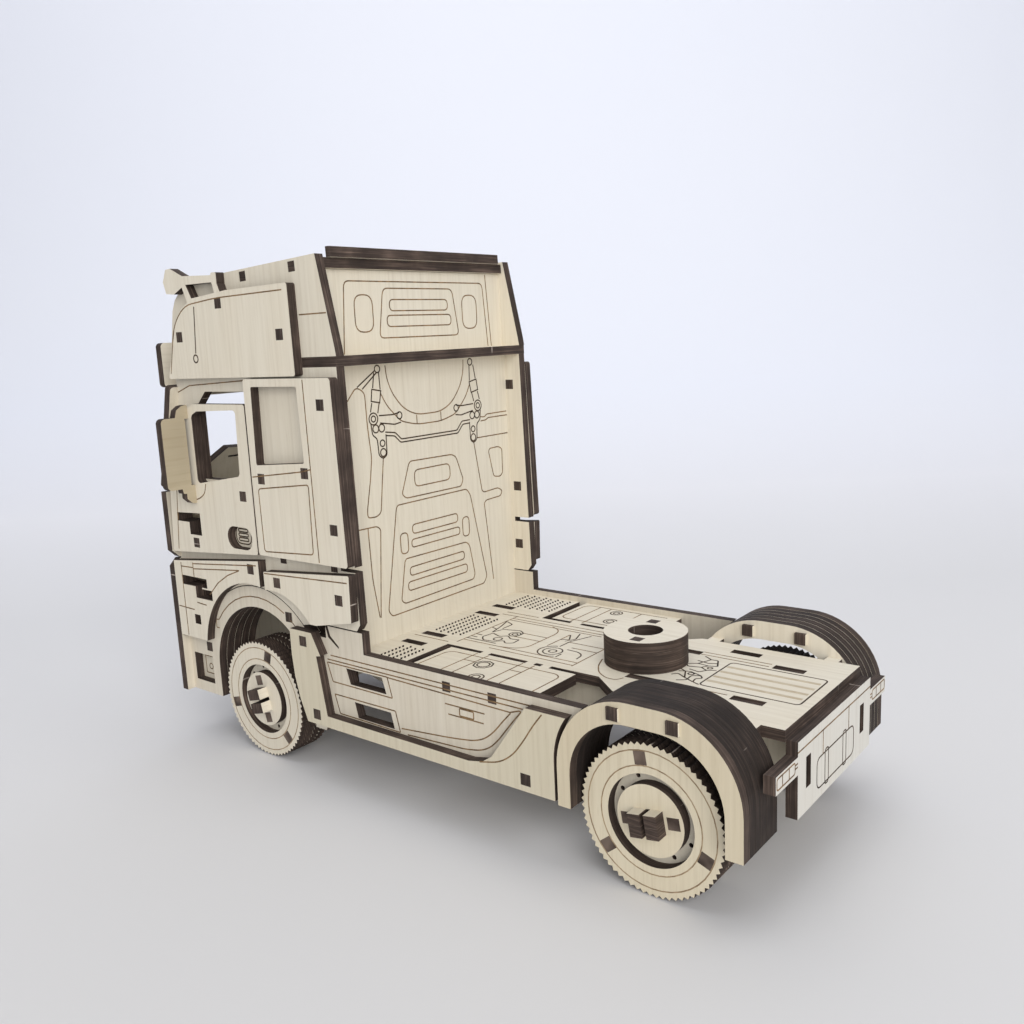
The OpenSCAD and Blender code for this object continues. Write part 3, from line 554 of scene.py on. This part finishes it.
# Sheets of the two sides, mirrored
LAYER1 = face_of("skirt_left", 1, True)
LAYER2 = face_of("door_left", 1, True)
outer_fine = [
    line([(177.0, 129.7), (172.6, 145.2), (165.7, 151.2), (148.5, 152.6), (116.0, 153.0)], 5),
    line([(180.2, 100.0), (184.0, 69.6)]),
    line([(110.3, 127.2), (109.5, 72.8)]),
    line([(138.2, 97.2), (114.5, 100.0), (110.0, 100.9)], 1),
    loop([(135.8, 93.6), (111.5, 96.3), (111.9, 75.0), (135.5, 73.6)], 1.2),
    line([(137.0, 66.3), (98.0, 67.9)]),
    line([(183.9, 64.8), (183.9, 38.4)]), line([(176.7, 65.4), (176.7, 60.4)]),
    line([(183.9, 63.4), (176.7, 63.6)]), line([(176.7, 65.0), (141.0, 68.3)]),
    line([(176.7, 63.2), (150.0, 65.7), (157.0, 63.2), (163.0, 59.8), (168.4, 55.0)], 1),
    line([(163.9, 93.5), (165.0, 90.2), (168.0, 88.4), (172.5, 87.3), (178.4, 88.1)], 1.5),
    line([(176.4, 51.3), (171.0, 51.0)]), line([(187.9, 48.6), (178.6, 48.4)]),
    line([(50.0, 24.4), (43.0, 26.0), (38.3, 29.2), (34.5, 34.0), (31.3, 38.8),
          (28.2, 42.6)], 4)]
outer_deep = [line([(160.2, 150.6), (161.7, 136.0)]), (arc(162.0, 134.3, 1.2), True)]
inner_fine = [
    line([(178.9, 123.4), (171.9, 125.6), (137.8, 127.2), (137.6, 125.3)], 0.6),
    line([(101.0, 145.7), (112.8, 145.7)]),
    line([(111.6, 42.7), (33.6, 42.7)]), line([(113.2, 41.2), (36.6, 41.2)]),
    line([(87.0, 40.2), (41.0, 39.4)]),
    line([(40.8, 39.2), (43.5, 36.4), (47.0, 32.4), (50.6, 29.6), (54.6, 28.2),
          (62.8, 27.1), (82.4, 25.4)], 4),
    line([(41.0, 39.4), (36.6, 40.9), (39.4, 37.9), (42.4, 34.3), (45.5, 30.5),
          (48.6, 27.6), (52.0, 26.0), (57.7, 25.0), (80.0, 24.0)], 2),
    loop(box(53.9, 34.5, 59.0, 36.6), 0.3), line([(64.3, 37.0), (49.9, 37.0)]),
    line([(63.3, 34.1), (50.4, 34.1)]),
    loop([(113.4, 40.2), (111.4, 34.2), (85.4, 34.1), (87.0, 40.3)], 0.4),
    loop([(111.0, 30.2), (109.2, 24.2), (83.0, 24.0), (84.5, 30.3)], 0.4),
    (arc(146.5, 28.0, 28.5, 38, 119), False), (arc(146.5, 28.0, 28.5, 126, 135), False),
    line([(168.9, 45.5), (170.8, 45.3), (170.8, 42.4), (169.3, 42.4)], 0.3)]
handle = [loop(box(146.0, 74.0, 154.0, 79.8), 2.6)] + [
    loop(box(147.6, z, 152.6, z + 1.0), 0.5) for z in (75.0, 76.5, 78.0)]
back_fine = [loop(box(178.8, 22.6, 184.6, 29.0), 0.2), ring(181.6, 25.3, 1.0)]
BUMPER_BACK = face_of("front_arch_left_layers", 1, True)
for side, word in ((1, "left"), (-1, "right")):
    outwards = (0, side, 0)
    engrave("outer_side_lines_" + word, "truck", across_y(side * LAYER2), outwards,
            outer_fine, outer_deep)
    engrave("inner_side_lines_" + word, "truck", across_y(side * LAYER1), outwards,
            inner_fine, handle, deep_width=0.42)
    engrave("bumper_side_lines_" + word, "truck", across_y(side * BUMPER_BACK), outwards,
            back_fine)
    for axle, x in (("front", WHEELBASE), ("rear", 0.0)):
        wheel_y = face_of(axle + "_left_face", 1, True)
        rings = [ring(x, AXLE_Z, 14.0), ring(x, AXLE_Z, 17.9)]
        Cutter(f"{axle}_wheel_lines_{word}", axle + "_wheelset", across_y(side * wheel_y),
               outwards, FAINT).cut(rings, FAINT_WIDTH).finish()

# Front, which is plain: a blank number plate, lamp outlines and panel lines
engrave("bumper_lines", "truck", across_x(face_of("bumper", 0, True)), FORWARDS, [
    loop(box(-39.6, 24.4, -29.0, 35.6), 1.5), loop(box(29.0, 24.4, 39.6, 35.6), 1.5),
    loop(box(-34.0, 40.0, 34.0, 61.0), 1.5), line([(-43.0, 38.0), (43.0, 38.0)])],
    [loop(box(-13.0, 23.0, 13.0, 31.0), 1.5)])
engrave("front_panel_lines", "truck", across_x(face_of("front_panel", 0, True)), FORWARDS, [
    loop(box(-31.0, 67.2, 31.0, 86.6), 2), line([(-37.0, 66.6), (-40.0, 88.6)]),
    line([(37.0, 66.6), (40.0, 88.6)])])
engrave("visor_lines", "truck", across_x(face_of("sun_visor", 0, True)), FORWARDS, [
    loop(box(-41.0, 127.4, -15.0, 137.6), 1.5), loop(box(-13.0, 127.4, 13.0, 137.6), 1.5),
    loop(box(15.0, 127.4, 41.0, 137.6), 1.5)])


# ---- Floor, light and camera ---------------------------------------------------

def sweep():
    """Floor that curves up into a backdrop behind the model, in metres."""
    ahead = Vector((math.cos(YAW), math.sin(YAW), 0))
    right = Vector((math.sin(YAW), -math.cos(YAW), 0))
    near, bend, radius, top, half_width, bend_steps = -1.6, 0.55, 0.6, 2.4, 2.2, 15
    profile = [(near, 0.0), (bend, 0.0)]
    for k in range(1, bend_steps + 1):
        turn = math.radians(90 * k / bend_steps)
        profile.append((bend + radius * math.sin(turn), radius - radius * math.cos(turn)))
    profile.append((bend + radius, top))
    verts, faces = [], []
    for distance, height in profile:
        for s in (-half_width, half_width):
            verts.append(ahead * distance + right * s + Vector((0, 0, height)))
    for i in range(len(profile) - 1):
        faces.append((2 * i, 2 * i + 1, 2 * i + 3, 2 * i + 2))
    mesh = bpy.data.meshes.new("backdrop")
    mesh.from_pydata(verts, [], faces)
    mesh.polygons.foreach_set("use_smooth", [True] * len(mesh.polygons))
    g = Graph("backdrop_paper")
    away = g.dot(g.coord.outputs["Object"], (ahead.x, ahead.y, 1))
    mottle = g.noise(g.coord.outputs["Object"], scale=2.2, detail=2)
    # Paper darker and warmer on the near floor as painted shadow, paler and bluer up the backdrop
    # as painted light; the mottle is the paper's own
    paper_with_painted_light = g.ramp(g.span(away, -0.2, 0.9), [
        (0.0, (0.640, 0.630, 0.625)), (0.36, (0.690, 0.685, 0.692)),
        (0.66, (0.850, 0.845, 0.870)), (1.0, (0.855, 0.872, 0.940))])
    g.put(g.surface.inputs["Base Color"],
          g.blend(g.span(mottle, 0.4, 0.7, 0.0, 0.06), paper_with_painted_light, (0.95, 0.94, 0.93, 1)))
    g.surface.inputs["Roughness"].default_value = 0.85
    mesh.materials.append(g.material)
    item = bpy.data.objects.new("backdrop", mesh)
    scene.collection.objects.link(item)


def softbox(name, place, target, size, power, colour):
    data = bpy.data.lights.new(name, "AREA")
    data.shape, data.size, data.energy, data.color = "SQUARE", size, power, colour
    item = bpy.data.objects.new(name, data)
    item.location = place
    item.rotation_euler = (Vector(target) - Vector(place)).to_track_quat("-Z", "Y").to_euler()
    scene.collection.objects.link(item)


def studio_world(colour, strength):
    world = bpy.data.worlds.new("studio")
    scene.world = world
    world.use_nodes = True
    background = world.node_tree.nodes["Background"]
    background.inputs["Color"].default_value = (*colour, 1)
    background.inputs["Strength"].default_value = strength


def aim_camera():
    """Camera behind the model's left rear corner, looking down along the cab's side."""
    gaze = Vector((math.cos(PITCH) * math.cos(YAW), math.cos(PITCH) * math.sin(YAW),
                   math.sin(PITCH)))
    level_right = gaze.cross(Vector(UPWARDS)).normalized()
    level_up = level_right.cross(gaze)
    right = level_right * math.cos(ROLL) + level_up * math.sin(ROLL)
    up = level_up * math.cos(ROLL) - level_right * math.sin(ROLL)
    data = bpy.data.cameras.new("camera")
    data.lens, data.sensor_width, data.clip_start = LENS, SENSOR, 0.01
    camera = bpy.data.objects.new("camera", data)
    pose = Matrix((right, up, -gaze)).transposed().to_4x4()
    pose.translation = Vector(CAMERA_PLACE)
    camera.matrix_world = pose
    scene.collection.objects.link(camera)
    scene.camera = camera


sweep()
softbox("key", (-1.05, 0.85, 0.62), (0, 0, 0.06), 1.1, 17.8, (1.0, 0.985, 0.965))
softbox("overhead", (0.15, -0.05, 1.5), (0, 0, 0), 1.4, 3.0, (0.97, 0.98, 1.0))
softbox("backdrop_light", (-0.1, 0.0, 1.6), (0.8, -0.95, 0.7), 1.2, 9.5, (0.95, 0.97, 1.0))
studio_world((0.93, 0.95, 1.0), 0.36)
aim_camera()
scene.view_settings.view_transform = "Standard"
